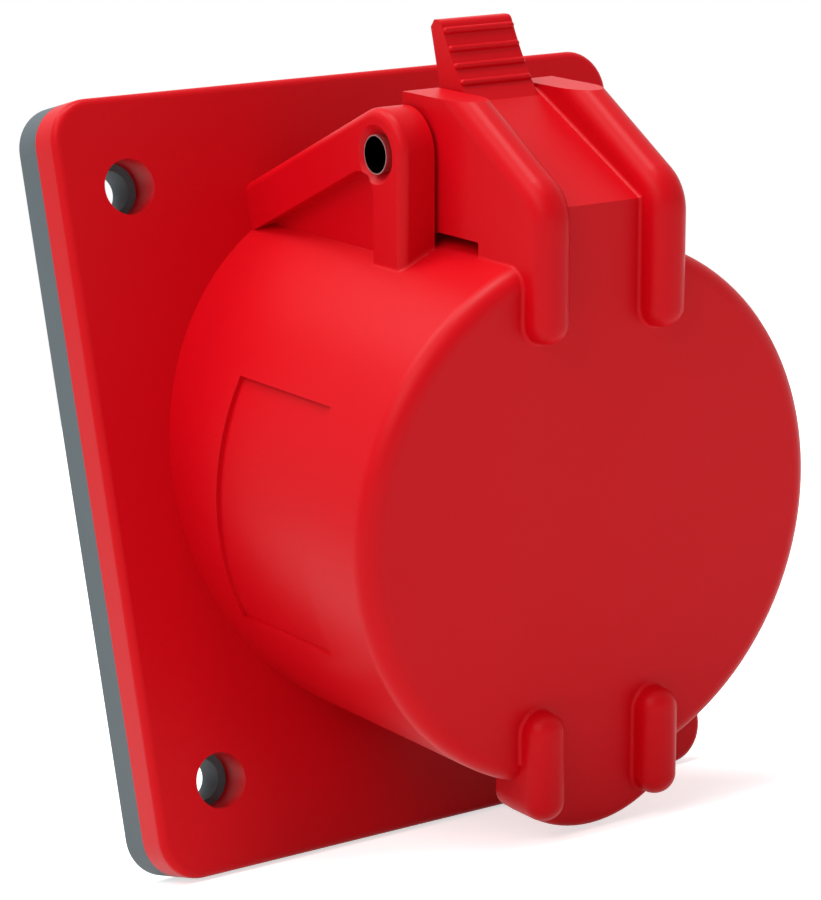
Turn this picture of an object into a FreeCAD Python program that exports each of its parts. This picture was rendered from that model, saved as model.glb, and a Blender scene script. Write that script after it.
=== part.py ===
# Angled industrial panel socket, five poles, with a spring-closed lid.
#
# World frame: +Z up, the front faces -Y, +X to the right seen from the front.
# The origin is the centre of the mounting face, the back of the gasket.
#
# Collar frame: the collar and all that belongs to it lean down by TILT. There a
# place is given as (x, a, v): x as in the world, a forward along the collar's
# axis from the flange's front face, v up at right angles to both.
import FreeCAD, Part
import math
import os

from FreeCAD import Placement, Rotation, Vector

# Flange, gasket and fixing holes
FLANGE_WIDTH = 87.7
FLANGE_HEIGHT = 100.0
FLANGE_THICK = 5.0
FLANGE_CORNER = 5.6
FLANGE_EDGE = 1.0
HOLE_SPAN_X = 68.0
HOLE_SPAN_Z = 76.5
HOLE_D = 7.2
GASKET_THICK = 4.5
GASKET_HOLE_D = 5.4
GASKET_HOLE_EDGE = 0.35
GASKET_SPARE = 2.15

# Collar, built outward from the insert in it: the plug's space, then the wall
TILT = 15.1
CARRIER_D = 48.8
PLUG_SPACE = 4.6
COLLAR_WALL = 5.35
COLLAR_FRONT = 34.4
KEYWAY_WIDTH = 6.6
KEYWAY_DEPTH = 3.1
KEYWAY_LENGTH = 26.0
LEDGE_FRONT = -8.0
LEDGE_THICK = 6.0
SKIRT_WALL = 2.5
SKIRT_LIP = 0.5
LABEL_HALF_ANGLE = 27.2
LABEL_REAR = 10.4
LABEL_LENGTH = 20.3
LABEL_DEPTH = 0.55

# Hinge ears and pin: the pin's axis above the collar and behind its front
PIN_HEIGHT = 9.15
PIN_SETBACK = 13.95
PIN_D = 4.9
PIN_WALL = 0.2
EAR_OUTER_X = 17.0
EAR_THICK = 4.9
EAR_RADIUS = 5.7
EAR_EDGE = 1.15
EAR_FOOT_ROUND = 0.5
BRACE_SLOPE = 25.0
BRACE_WIDTH = 6.2
POST_WIDTH = 6.15
POCKET_DEPTH = 1.9
POCKET_CORNER = 3.0
PIN_SINK_D = 7.4
PIN_SINK_DEPTH = 1.2

# Lid: the cap's own sizes, then its arms, ribs and web
LID_DEPTH = 9.2
LID_PLATE = 3.0
LID_RIM_WALL = 2.7
LID_EDGE = 2.5
SEAL_WIDTH = 2.5
SEAL_THICK = 3.0
LOBE_RADIUS = 17.3
LOBE_DROP = 5.57
LOBE_THICK = 5.65
LOBE_CORNER = 2.6
LOBE_EDGE = 0.9
ARM_INNER_X = 6.1
ARM_WIDTH = 5.4
ARM_SLOPE = 31.0
ARM_KNEE_RISE = 6.71
ARM_HEEL_ROUND = 2.0
ARM_GAP = 0.35
ARM_FOOT_ROUND = 0.3
RIB_RISE = 3.6
RIB_ROUND = 2.45
RIB_END_ROUND = 2.65
RIB_CORNER = 6.5
RIB_FOOT_ROUND = 0.45
RIB_END_INSET = 11.25
LOWER_RIB_LENGTH = 13.95
WEB_RISE = 4.82
WEB_SLOPE = 27.1
WEB_THICK = 2.0
PIN_CLEARANCE = 0.05

# Lid, measured from the pin's axis: (forward, up) or one of the two
ARM_TOP_UP = 7.1
ARM_BACK_BEHIND = 2.05
TAB_WIDTH = 10.8
TAB_TOP_UP = 15.3
TAB_BACK_BEHIND = 4.95
TAB_FACE = ((-2.65, 15.3), (-0.1, 10.55), (3.45, 5.65))
TAB_ROUND = 0.9
TAB_BACK_EDGE = 1.0
RIDGE_UP = (14.05, 11.9, 9.9, 8.0)
RIDGE_HALF_LENGTH = 4.95
RIDGE_RADIUS = 0.45

# Lid spring
SPRING_WIRE = 1.1
SPRING_GAP = 0.35
SPRING_TURNS = 6
SPRING_PITCH = 1.35
SPRING_LID_ANGLE = 180.0
SPRING_COLLAR_ANGLE = 150.0
SPRING_LEG_GAP = 0.05

# Insert: contact carrier, terminal carrier and their seal
CARRIER_SETBACK = 5.4
CARRIER_EDGE = 1.0
CARRIER_BASE_THICK = 3.0
CARRIER_SEAL_THICK = 1.0
CARRIER_CLEARANCE = 0.3
CARRIER_WALL = 2.0
CARRIER_FACE = 3.0
CARRIER_POST_D = 10.0
CARRIER_TUBE_WALL = 1.5
TERMINAL_STEP = 0.4
TERMINAL_DEPTH = 22.0
TERMINAL_REAR_WALL = 3.0
WINDOW_D = 7.0

# Contacts: pitch circle, entry depth and terminals
POLES = ("l1", "l2", "l3", "n", "pe")
POLE_ANGLES = (198.0, 126.0, 54.0, 342.0, 270.0)
PITCH_INSET = 7.9
PIN_BORE = (5.1, 5.1, 5.1, 5.1, 7.1)
SLEEVE_WALL = 1.1
ENTRY_DEPTH = 2.5
ENTRY_CLEARANCE = 0.5
SLEEVE_CLEARANCE = 0.15
SLEEVE_END_GAP = 0.3
SLOT_WIDTH = 0.7
SLOT_LENGTH = 15.0
PIN_BORE_DEPTH = 24.0
RING_LENGTH = 3.0
RING_WALL = 0.6
RING_SETBACK = 3.0
RING_GAP = 1.2
RING_GAP_ANGLE = 45.0
GUIDE_STEP = 0.8
GUIDE_LENGTH = 10.0
SHOULDER = 1.0
SHOULDER_LENGTH = 2.0
WIRE_BORE_D = 4.5
WIRE_BORE_DEPTH = 14.5
WIRE_FUNNEL_D = 7.0
WIRE_CLEARANCE = 0.5
TERMINAL_END_GAP = 1.0
SCREW_D = 4.0
SCREW_SETBACK = 5.0
SCREW_TIP = 1.3
SCREW_HEAD_D = 5.6
SCREW_HEAD_LENGTH = 1.8
SCREW_HEAD_GAP = 0.1
SCREW_SLOT = 0.8
SCREW_SLOT_DEPTH = 1.0

# Screws of the insert
CARRIER_SCREW_COUNT = 3
CARRIER_SCREW_FIRST = 30.0
CARRIER_SCREW_D = 2.5
CARRIER_SCREW_REACH = 4.5
CARRIER_SCREW_HEAD_D = 3.6
CARRIER_SCREW_HEAD = 1.6
CENTRE_SCREW_D = 4.0
CENTRE_SCREW_REACH = 12.0
CENTRE_SCREW_HEAD_D = 7.0
CENTRE_SCREW_HEAD = 2.6
SCREW_CLEARANCE = 0.15
THREAD_CLEARANCE = 0.05
PILOT_SPARE = 0.5
CROSS_WIDTH = 0.8
CROSS_DEPTH = 0.9

# Places that follow from the sizes above
FLANGE_FRONT_Y = -(GASKET_THICK + FLANGE_THICK)
CARRIER_R = CARRIER_D / 2
PLUG_BORE_R = CARRIER_R + PLUG_SPACE
COLLAR_R = PLUG_BORE_R + COLLAR_WALL
SKIRT_R = PLUG_BORE_R + SKIRT_WALL
LEDGE_BORE_R = CARRIER_R + CARRIER_CLEARANCE
CARRIER_BASE_R = PLUG_BORE_R - CARRIER_CLEARANCE
CARRIER_SCREW_CIRCLE_R = (LEDGE_BORE_R + CARRIER_BASE_R) / 2
PITCH_RADIUS = CARRIER_R - PITCH_INSET
LEDGE_BACK = LEDGE_FRONT - LEDGE_THICK
CARRIER_FRONT = COLLAR_FRONT - CARRIER_SETBACK
CARRIER_BASE_FRONT = LEDGE_BACK - CARRIER_SEAL_THICK
CARRIER_BACK = CARRIER_BASE_FRONT - CARRIER_BASE_THICK
SKIRT_BACK = CARRIER_BACK - SKIRT_LIP
TERMINAL_BACK = CARRIER_BACK - TERMINAL_DEPTH
PIN_A = COLLAR_FRONT - PIN_SETBACK
PIN_V = COLLAR_R + PIN_HEIGHT
LID_FRONT = COLLAR_FRONT + LID_DEPTH
LID_CAVITY_FRONT = LID_FRONT - LID_PLATE
LID_CAVITY_R = COLLAR_R - LID_RIM_WALL
LOBE_BOTTOM = -COLLAR_R - LOBE_DROP
LOBE_CENTRE_V = LOBE_BOTTOM + LOBE_RADIUS
ARM_OUTER_X = ARM_INNER_X + ARM_WIDTH
ARM_TOP = PIN_V + ARM_TOP_UP
ARM_BACK = PIN_A - ARM_BACK_BEHIND
ARM_FOOT_V = math.sqrt(COLLAR_R ** 2 - ARM_INNER_X ** 2) + ARM_GAP
RIB_END_V = COLLAR_R - RIB_END_INSET
WEB_CORNER_V = COLLAR_R + WEB_RISE
TAB_TOP = PIN_V + TAB_TOP_UP
TAB_BACK_A = PIN_A - TAB_BACK_BEHIND
RIM_MIDDLE_V = math.sqrt(COLLAR_R ** 2 - ARM_OUTER_X ** 2) - LID_RIM_WALL / 3
CREST_A = LID_FRONT + RIB_RISE
CREST_CORNER_V = COLLAR_R + ARM_KNEE_RISE
ARM_CLIMB = math.tan(math.radians(ARM_SLOPE))
WEB_CLIMB = math.tan(math.radians(WEB_SLOPE))
EAR_INNER_X = EAR_OUTER_X - EAR_THICK
SPRING_RADIUS = PIN_D / 2 + SPRING_GAP + SPRING_WIRE / 2
WEB_UNDERSIDE_V = PIN_V + SPRING_RADIUS + SPRING_WIRE / 2 + 2 * SPRING_GAP
WEB_TOP_V = WEB_UNDERSIDE_V + WEB_THICK
SCREW_A = CARRIER_BACK - SHOULDER_LENGTH - SCREW_SETBACK
SLEEVE_FRONT = CARRIER_FRONT - ENTRY_DEPTH
TERMINAL_END = TERMINAL_BACK + TERMINAL_REAR_WALL + TERMINAL_END_GAP
CUT = 200.0

COLLAR_PLACE = Placement(Vector(0, FLANGE_FRONT_Y, 0), Rotation(Vector(1, 0, 0), TILT))


def in_world(shape):
    """Carry a shape from the collar frame to the world frame."""
    placed = shape.copy()
    placed.Placement = COLLAR_PLACE.multiply(placed.Placement)
    return placed


def at(x, a, v):
    """A point of the collar frame."""
    return Vector(x, -a, v)


def rod(radius, a_from, a_to, x=0.0, v=0.0):
    """A cylinder along the collar's axis."""
    return Part.makeCylinder(radius, a_to - a_from, at(x, a_from, v), Vector(0, -1, 0))


def ring(outer, inner, a_from, a_to, x=0.0, v=0.0):
    """A tube along the collar's axis."""
    return rod(outer, a_from, a_to, x, v).cut(rod(inner, a_from - 1, a_to + 1, x, v))


def cross_rod(radius, x_from, x_to, a=PIN_A, v=PIN_V):
    """A cylinder along X, by default round the hinge axis."""
    return Part.makeCylinder(radius, x_to - x_from, at(x_from, a, v), Vector(1, 0, 0))


def block(x, a, v):
    """A box from three (low, high) pairs."""
    return Part.makeBox(x[1] - x[0], a[1] - a[0], v[1] - v[0], Vector(x[0], -a[1], v[0]))


def plate(edges, width):
    """A plate across X from the edges of its closed side outline."""
    closed = Part.Wire(Part.__sortEdges__(edges))
    return Part.Face(closed).extrude(Vector(width, 0, 0))


def flat_plate(points, x_from, x_to):
    """A plate across X whose side outline is straight through (a, v) points."""
    corners = [at(x_from, a, v) for a, v in points]
    closed = Part.makePolygon(corners + corners[:1])
    return Part.Face(closed).extrude(Vector(x_to - x_from, 0, 0))


def arc(x, first, middle, last):
    """An arc through three (a, v) points."""
    return Part.Arc(at(x, *first), at(x, *middle), at(x, *last)).toShape()


def line(x, first, last):
    """A straight edge between two (a, v) points."""
    return Part.LineSegment(at(x, *first), at(x, *last)).toShape()


def polar(centre, radius, degrees):
    """A point of the side view at an angle round a centre."""
    turn = math.radians(degrees)
    return (centre[0] + radius * math.cos(turn), centre[1] + radius * math.sin(turn))


def pole_place(angle, radius=PITCH_RADIUS):
    """Where a pole stands on the carrier's pitch circle, as (x, v)."""
    turn = math.radians(angle)
    return radius * math.cos(turn), radius * math.sin(turn)


def mirrored(shape):
    """The same shape on the other side of the middle plane."""
    return shape.mirror(Vector(0, 0, 0), Vector(1, 0, 0))


def edges_where(shape, test):
    """The edges whose middle point passes a test."""
    chosen = []
    for edge in shape.Edges:
        middle = edge.valueAt((edge.FirstParameter + edge.LastParameter) / 2)
        if test(edge, middle):
            chosen.append(edge)
    return chosen


def runs_along(edge, axis):
    """True for a straight edge parallel to an axis."""
    if not isinstance(edge.Curve, Part.Line):
        return False
    return abs(abs(edge.Curve.Direction.dot(axis)) - 1) < 1e-6


def rounded_slab(y_from, y_to):
    """The common outline of flange and gasket."""
    slab = Part.makeBox(FLANGE_WIDTH, y_to - y_from, FLANGE_HEIGHT,
                        Vector(-FLANGE_WIDTH / 2, y_from, -FLANGE_HEIGHT / 2))
    corners = edges_where(slab, lambda edge, middle: runs_along(edge, Vector(0, 1, 0)))
    return slab.makeFillet(FLANGE_CORNER, corners)


def fixing_holes(diameter):
    """Four drills through flange and gasket."""
    drills = []
    for side in (-1, 1):
        for level in (-1, 1):
            foot = Vector(side * HOLE_SPAN_X / 2, CUT / 2, level * HOLE_SPAN_Z / 2)
            drills.append(Part.makeCylinder(diameter / 2, CUT, foot, Vector(0, -1, 0)))
    return drills


def behind(y):
    """Everything with a greater Y than the given plane."""
    return Part.makeBox(CUT, CUT, CUT, Vector(-CUT / 2, y, -CUT / 2))


def make_flange():
    """Flange plate with its rounded front edge, joined to the collar's outside."""
    plate_body = rounded_slab(FLANGE_FRONT_Y, -GASKET_THICK)
    rim = edges_where(plate_body, lambda edge, middle: abs(middle.y - FLANGE_FRONT_Y) < 1e-6)
    plate_body = plate_body.makeFillet(FLANGE_EDGE, rim)
    collar = in_world(rod(COLLAR_R, -COLLAR_R, COLLAR_FRONT)).cut(behind(-GASKET_THICK))
    return plate_body.fuse(collar)


def make_ear():
    """The hinge ear at +X: post, slanted brace and thin web, in the collar frame."""
    hinge = (PIN_A, PIN_V)
    root_v = PLUG_BORE_R - 1
    post_front = PIN_A + EAR_RADIUS
    tangent = polar(hinge, EAR_RADIUS, 90 + BRACE_SLOPE)
    slope = math.tan(math.radians(BRACE_SLOPE))
    tail_a = -math.tan(math.radians(TILT)) * PIN_V - FLANGE_THICK / 2
    tail = (tail_a, tangent[1] + slope * (tail_a - tangent[0]))
    x = EAR_INNER_X
    profile = [
        line(x, (post_front, root_v), (post_front, PIN_V)),
        arc(x, (post_front, PIN_V), polar(hinge, EAR_RADIUS, 45 + BRACE_SLOPE / 2), tangent),
        line(x, tangent, tail),
        line(x, tail, (tail_a, root_v)),
        line(x, (tail_a, root_v), (post_front, root_v)),
    ]
    ear = plate(profile, EAR_THICK)
    outer = edges_where(ear, lambda edge, middle: (
        abs(middle.x - EAR_OUTER_X) < 1e-6 and middle.z > root_v + 1 and -middle.y > tail_a + 1))
    ear = ear.makeFillet(EAR_EDGE, outer)

    inner_line = polar(hinge, EAR_RADIUS - BRACE_WIDTH, 90 + BRACE_SLOPE)
    pocket_front = post_front - POST_WIDTH
    pocket_top = inner_line[1] + slope * (pocket_front - inner_line[0])
    rear_a = inner_line[0] - (inner_line[1] - root_v) / slope
    corners = ((pocket_front, root_v), (pocket_front, pocket_top), (rear_a, root_v))
    pocket = flat_plate(corners, EAR_OUTER_X - POCKET_DEPTH, EAR_OUTER_X + 1)
    corner = edges_where(pocket, lambda edge, middle: (
        runs_along(edge, Vector(1, 0, 0)) and middle.z > pocket_top - 0.1))
    return ear.cut(pocket.makeFillet(POCKET_CORNER, corner))


def make_front_housing():
    """Flange, leaning collar, ears, ledge and rear skirt, moulded in one."""
    body = make_flange()
    ear = make_ear()
    behind_flange = behind(-GASKET_THICK - FLANGE_THICK / 2)
    for one in (ear, mirrored(ear)):
        body = body.fuse(in_world(one).cut(behind_flange))
    body = body.makeFillet(EAR_FOOT_ROUND, edges_where(body, is_ear_foot))
    body = body.fuse(in_world(rod(SKIRT_R, SKIRT_BACK, 0)))

    hollow = rod(PLUG_BORE_R, LEDGE_FRONT, COLLAR_FRONT + 1)
    hollow = hollow.fuse(rod(LEDGE_BORE_R, LEDGE_BACK - 1, LEDGE_FRONT + 1))
    hollow = hollow.fuse(rod(PLUG_BORE_R, SKIRT_BACK - 1, LEDGE_BACK))
    keyway = block((-KEYWAY_WIDTH / 2, KEYWAY_WIDTH / 2),
                   (COLLAR_FRONT - KEYWAY_LENGTH, COLLAR_FRONT + 1),
                   (-PLUG_BORE_R - KEYWAY_DEPTH, 0))
    cuts = [hollow, keyway, make_label_field()]
    cuts.append(cross_rod(PIN_D / 2, -EAR_OUTER_X - 1, EAR_OUTER_X + 1))
    for side in (-1, 1):
        cuts.append(Part.makeCone(PIN_D / 2, PIN_SINK_D / 2, PIN_SINK_DEPTH,
                                  at(side * (EAR_OUTER_X - PIN_SINK_DEPTH), PIN_A, PIN_V),
                                  Vector(side, 0, 0)))
    for x, v in carrier_screw_places():
        cuts.append(rod(CARRIER_SCREW_D / 2 + THREAD_CLEARANCE,
                        LEDGE_BACK - 1, LEDGE_BACK + CARRIER_SCREW_REACH + PILOT_SPARE, x, v))
    for tool in cuts:
        body = body.cut(in_world(tool))
    for drill in fixing_holes(HOLE_D):
        body = body.cut(drill)
    return body.removeSplitter()


def is_ear_foot(edge, middle):
    """True where the outer side of an ear's post stands on the collar."""
    place = COLLAR_PLACE.inverse().multVec(middle)
    on_collar = abs(math.hypot(place.x, place.z) - COLLAR_R) < 1e-3
    return on_collar and abs(abs(place.x) - EAR_OUTER_X) < 1e-3 and 0 < -place.y < COLLAR_FRONT - 1


def make_label_field():
    """Shallow field on the left of the collar, with its floor round the axis."""
    band = ring(COLLAR_R + 1, COLLAR_R - LABEL_DEPTH, LABEL_REAR, LABEL_REAR + LABEL_LENGTH)
    reach = 2 * COLLAR_R
    turn = math.radians(LABEL_HALF_ANGLE)
    far = (-reach, reach * math.tan(turn))
    corners = [at(0, 0, 0), at(far[0], 0, far[1]), at(far[0], 0, -far[1]), at(0, 0, 0)]
    wedge = Part.Face(Part.makePolygon(corners)).extrude(Vector(0, -COLLAR_FRONT, 0))
    return band.common(wedge)


def make_flange_gasket():
    """Sealing plate behind the flange, open where the collar's skirt passes."""
    body = rounded_slab(-GASKET_THICK, 0)
    axis_z = GASKET_THICK / 2 + FLANGE_THICK
    opening = Vector(0, 1, axis_z * math.tan(math.radians(TILT)))
    body = body.cut(Part.makeCylinder(COLLAR_R + GASKET_SPARE, GASKET_THICK + 2, opening, Vector(0, -1, 0)))
    for drill in fixing_holes(GASKET_HOLE_D):
        body = body.cut(drill)
    mouths = edges_where(body, lambda edge, middle: (
        isinstance(edge.Curve, Part.Circle)
        and abs(edge.Curve.Radius - GASKET_HOLE_D / 2) < 1e-6
        and middle.y < -GASKET_THICK + 1e-6))
    return body.makeChamfer(GASKET_HOLE_EDGE, mouths)


def make_arm():
    """The hinge arm at +X with its round-backed rib down the lid's face."""
    x = ARM_INNER_X
    corner_v = CREST_CORNER_V
    top_a = CREST_A - (ARM_TOP - corner_v) / ARM_CLIMB
    inside_a = LID_FRONT - LID_PLATE / 2
    profile = [
        line(x, (CREST_A, RIB_END_V), (CREST_A, corner_v)),
        line(x, (CREST_A, corner_v), (top_a, ARM_TOP)),
        line(x, (top_a, ARM_TOP), (ARM_BACK, ARM_TOP)),
        line(x, (ARM_BACK, ARM_TOP), (ARM_BACK, ARM_FOOT_V)),
        line(x, (ARM_BACK, ARM_FOOT_V), (COLLAR_FRONT, ARM_FOOT_V)),
        line(x, (COLLAR_FRONT, ARM_FOOT_V), (COLLAR_FRONT, RIM_MIDDLE_V)),
        line(x, (COLLAR_FRONT, RIM_MIDDLE_V), (inside_a, RIM_MIDDLE_V)),
        line(x, (inside_a, RIM_MIDDLE_V), (inside_a, RIB_END_V)),
        line(x, (inside_a, RIB_END_V), (CREST_A, RIB_END_V)),
    ]
    arm = plate(profile, ARM_WIDTH)
    knee = edges_where(arm, lambda edge, middle: (
        runs_along(edge, Vector(1, 0, 0)) and abs(-middle.y - CREST_A) < 1e-3
        and abs(middle.z - corner_v) < 1e-3))
    arm = arm.makeFillet(RIB_CORNER, knee)
    inner_corner = edges_where(arm, lambda edge, middle: (
        runs_along(edge, Vector(1, 0, 0)) and abs(-middle.y - COLLAR_FRONT) < 1e-3
        and abs(middle.z - ARM_FOOT_V) < 1e-3))
    arm = arm.makeFillet(ARM_FOOT_ROUND, inner_corner)
    heel = edges_where(arm, lambda edge, middle: (
        runs_along(edge, Vector(1, 0, 0)) and abs(-middle.y - ARM_BACK) < 1e-3
        and abs(middle.z - ARM_FOOT_V) < 1e-3))
    arm = arm.makeFillet(ARM_HEEL_ROUND, heel)
    return round_rib(arm, RIB_END_V)


def round_rib(rib, end_v):
    """Round a rib's free end in plan, then its back."""
    corners = edges_where(rib, lambda edge, middle: (
        runs_along(edge, Vector(0, 1, 0)) and abs(middle.z - end_v) < 1e-3))
    rib = rib.makeFillet(RIB_END_ROUND, corners)
    return rib.makeFillet(RIB_ROUND, edges_where(rib, is_back_edge))


def is_back_edge(edge, middle):
    """True on the long edges of a rib's back: round its end, up the crest and the slope."""
    a = -middle.y
    if runs_along(edge, Vector(1, 0, 0)):
        return False
    if abs(a - CREST_A) < 1e-3:
        return True
    above_crest = middle.z - CREST_CORNER_V - (CREST_A - a) * ARM_CLIMB
    return abs(above_crest) < RIB_CORNER / 4 and CREST_CORNER_V - RIB_CORNER < middle.z < ARM_TOP - 1e-3


def make_lower_rib():
    """The short rib at +X on the lid's lower lobe."""
    rib = block((ARM_INNER_X, ARM_OUTER_X), (LID_CAVITY_FRONT, CREST_A),
                (-RIB_END_V - LOWER_RIB_LENGTH, -RIB_END_V))
    rib = rib.makeFillet(RIB_END_ROUND, edges_where(rib, lambda edge, middle: (
        runs_along(edge, Vector(0, 1, 0)))))
    back = edges_where(rib, lambda edge, middle: abs(-middle.y - CREST_A) < 1e-3)
    return rib.makeFillet(RIB_ROUND, back)


def make_web():
    """The bent plate between the arms, from the lid's face up to the thumb tab."""
    root_v = COLLAR_R - 2 * LID_EDGE
    underside_v = WEB_CORNER_V - WEB_THICK * math.hypot(1, WEB_CLIMB)
    points = (
        (LID_FRONT, root_v),
        (LID_FRONT, WEB_CORNER_V),
        (LID_FRONT - (WEB_TOP_V - WEB_CORNER_V) / WEB_CLIMB, WEB_TOP_V),
        (ARM_BACK, WEB_TOP_V),
        (ARM_BACK, WEB_UNDERSIDE_V),
        (LID_FRONT - (WEB_UNDERSIDE_V - underside_v) / WEB_CLIMB, WEB_UNDERSIDE_V),
        (LID_CAVITY_FRONT, underside_v + WEB_CLIMB * LID_PLATE),
        (LID_CAVITY_FRONT, root_v),
    )
    return flat_plate(points, -ARM_INNER_X, ARM_INNER_X)


def make_tab():
    """The thumb tab with its curved face and grip ridges."""
    half = TAB_WIDTH / 2
    top, middle, foot = tab_face_points()
    root = (foot[0], WEB_UNDERSIDE_V)
    heel = (ARM_BACK, WEB_UNDERSIDE_V)
    back = (TAB_BACK_A, TAB_TOP)
    profile = [
        arc(-half, top, middle, foot),
        line(-half, foot, root),
        line(-half, root, heel),
        line(-half, heel, back),
        line(-half, back, top),
    ]
    tab = plate(profile, TAB_WIDTH)
    tab = tab.makeFillet(TAB_ROUND, edges_where(tab, lambda edge, middle: (
        runs_along(edge, Vector(1, 0, 0)) and abs(middle.z - TAB_TOP) < 1e-3
        and -middle.y > TAB_BACK_A + 1e-3)))
    tab = tab.makeChamfer(TAB_BACK_EDGE, edges_where(tab, lambda edge, middle: (
        runs_along(edge, Vector(1, 0, 0)) and abs(middle.z - TAB_TOP) < 1e-3
        and abs(-middle.y - TAB_BACK_A) < 1e-3)))
    ridges = []
    for up in RIDGE_UP:
        v = PIN_V + up
        a = tab_face_at(v)
        ridges.append(cross_rod(RIDGE_RADIUS, -RIDGE_HALF_LENGTH, RIDGE_HALF_LENGTH, a, v))
        for side in (-1, 1):
            ridges.append(Part.makeSphere(RIDGE_RADIUS, at(side * RIDGE_HALF_LENGTH, a, v)))
    return tab.fuse(ridges)


def tab_face_points():
    """Top, middle and foot of the tab's curved face, as (a, v)."""
    return [(PIN_A + ahead, PIN_V + up) for ahead, up in TAB_FACE]


def tab_face_at(v):
    """How far forward the tab's face lies at a height."""
    face = arc(0, *tab_face_points())
    level = Part.makeLine(at(0, 0, v), at(0, COLLAR_FRONT, v))
    return -face.distToShape(level)[1][0][0].y


def lobe_disc(radius, a_from, a_to):
    """The lobe's round lower end, cut off level with the arms' outer sides."""
    side = block((-ARM_OUTER_X, ARM_OUTER_X), (a_from, a_to), (LOBE_BOTTOM, LOBE_CENTRE_V))
    return rod(radius, a_from, a_to, 0, LOBE_CENTRE_V).common(side)


def make_cap():
    """The lid's round cap and lobe with their rounded front edge."""
    lobe = lobe_disc(LOBE_RADIUS, LID_FRONT - LOBE_THICK, LID_FRONT)
    lobe = lobe.makeFillet(LOBE_CORNER, edges_where(lobe, lambda edge, middle: (
        runs_along(edge, Vector(0, 1, 0)) and middle.z < LOBE_CENTRE_V - 1e-3)))
    lobe = lobe.makeFillet(LOBE_EDGE, edges_where(lobe, lambda edge, middle: (
        abs(middle.z - LOBE_CENTRE_V) > 1e-3 and not runs_along(edge, Vector(0, 1, 0)))))
    cap = rod(COLLAR_R, COLLAR_FRONT, LID_FRONT)
    cap = cap.makeFillet(LID_EDGE, edges_where(cap, lambda edge, middle: abs(-middle.y - LID_FRONT) < 1e-3))
    return cap.fuse(lobe).removeSplitter()


def with_foot(rib):
    """A lower rib on a patch of the lid's face, with the hollow rounding at its foot."""
    patch = block((0, 2 * ARM_OUTER_X), (LID_CAVITY_FRONT, LID_FRONT), (LOBE_BOTTOM, 0))
    ribbed = patch.fuse(rib)
    foot = edges_where(ribbed, lambda edge, middle: (
        abs(-middle.y - LID_FRONT) < 1e-3 and ARM_INNER_X - 0.1 < middle.x < ARM_OUTER_X + 0.1
        and LOBE_BOTTOM < middle.z < -1))
    ribbed = ribbed.makeFillet(RIB_FOOT_ROUND, foot)
    flat = rod(COLLAR_R - LID_EDGE, LID_CAVITY_FRONT, CREST_A)
    flat = flat.fuse(lobe_disc(LOBE_RADIUS - LOBE_EDGE, LID_CAVITY_FRONT, CREST_A))
    return ribbed.common(flat).fuse(rib)


def is_rib_foot(edge, middle):
    """True where an upper rib or an arm's inner side meets the lid's face and web."""
    a = -middle.y
    x = abs(middle.x)
    on_face = LID_FRONT - LID_EDGE < a < LID_FRONT + 1e-3 and RIB_END_V - 1 < middle.z < COLLAR_R
    on_slope = (abs(middle.z - WEB_CORNER_V - (LID_FRONT - a) * WEB_CLIMB) < 1e-3
                and x < ARM_INNER_X + 1e-3 and middle.z < WEB_TOP_V - 1e-3)
    return ARM_INNER_X - 1e-3 < x < ARM_OUTER_X + 1e-3 and (on_face or on_slope)


def make_lid():
    """Cap, lobe, ribs, arms, web and thumb tab, moulded in one."""
    body = make_cap()
    arm = make_arm()
    rib = with_foot(make_lower_rib())
    for piece in (arm, mirrored(arm), rib, mirrored(rib), make_web(), make_tab()):
        body = body.fuse(piece)
    body = body.removeSplitter()
    body = body.makeFillet(RIB_FOOT_ROUND, edges_where(body, is_rib_foot))
    body = body.cut(rod(LID_CAVITY_R, COLLAR_FRONT - 1, COLLAR_FRONT + SEAL_THICK))
    body = body.cut(rod(LID_CAVITY_R - SEAL_WIDTH, COLLAR_FRONT - 1, LID_CAVITY_FRONT))
    body = body.cut(cross_rod(PIN_D / 2 + PIN_CLEARANCE, -ARM_OUTER_X - 1, ARM_OUTER_X + 1))
    return in_world(body.removeSplitter())


def make_lid_seal():
    """Rubber ring in the cap that meets the collar's front edge."""
    return in_world(ring(LID_CAVITY_R, LID_CAVITY_R - SEAL_WIDTH, COLLAR_FRONT, COLLAR_FRONT + SEAL_THICK))


def make_hinge_pin():
    """Steel tube from ear to ear."""
    pin = cross_rod(PIN_D / 2, -EAR_OUTER_X, EAR_OUTER_X)
    return in_world(pin.cut(cross_rod(PIN_D / 2 - PIN_WALL, -EAR_OUTER_X - 1, EAR_OUTER_X + 1)))


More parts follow.
